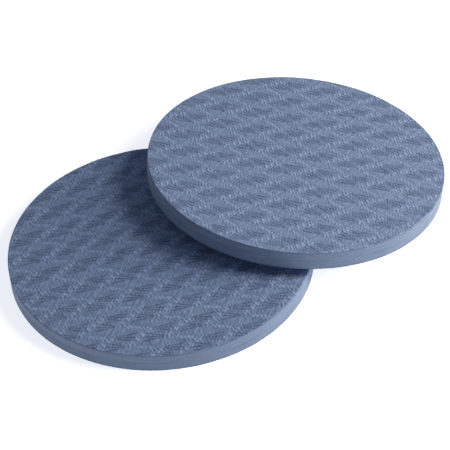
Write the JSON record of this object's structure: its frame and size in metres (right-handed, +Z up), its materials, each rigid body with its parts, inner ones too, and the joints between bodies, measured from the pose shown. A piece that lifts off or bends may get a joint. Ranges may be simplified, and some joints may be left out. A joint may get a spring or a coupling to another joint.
{
  "type": "foam balance pads",
  "caption": "Two round flat closed-cell foam balance pads with an embossed leaf surface, one lying on the floor and one leaning loose on its rim.",
  "frame": {"origin": "centre of the lower pad's underside, on the floor", "axes": "+Z up, +X in plan from the lower pad's centre towards the edge on which the upper pad rests on the floor, +Y completes the right-handed frame"},
  "size_m": [0.3429, 0.22, 0.0425],
  "materials": {
    "top_ply_foam": "matte slate-blue closed-cell foam with an embossed leaf pattern on its upper face and a knife-cut edge",
    "bottom_ply_foam": "matte slate-blue closed-cell foam with an embossed leaf pattern on its underside and a knife-cut edge"
  },
  "bodies": {
    "lower_pad": {"lower_pad_bottom_ply": "bottom_ply_foam", "lower_pad_top_ply": "top_ply_foam"},
    "upper_pad": {"upper_pad_bottom_ply": "bottom_ply_foam", "upper_pad_top_ply": "top_ply_foam"}
  },
  "joints": [
    {"name": "upper_pad_lift", "type": "slide", "parent": "lower_pad", "child": "upper_pad", "axis": [0, 0, 1], "range_m": [0, 0.12]}
  ]
}
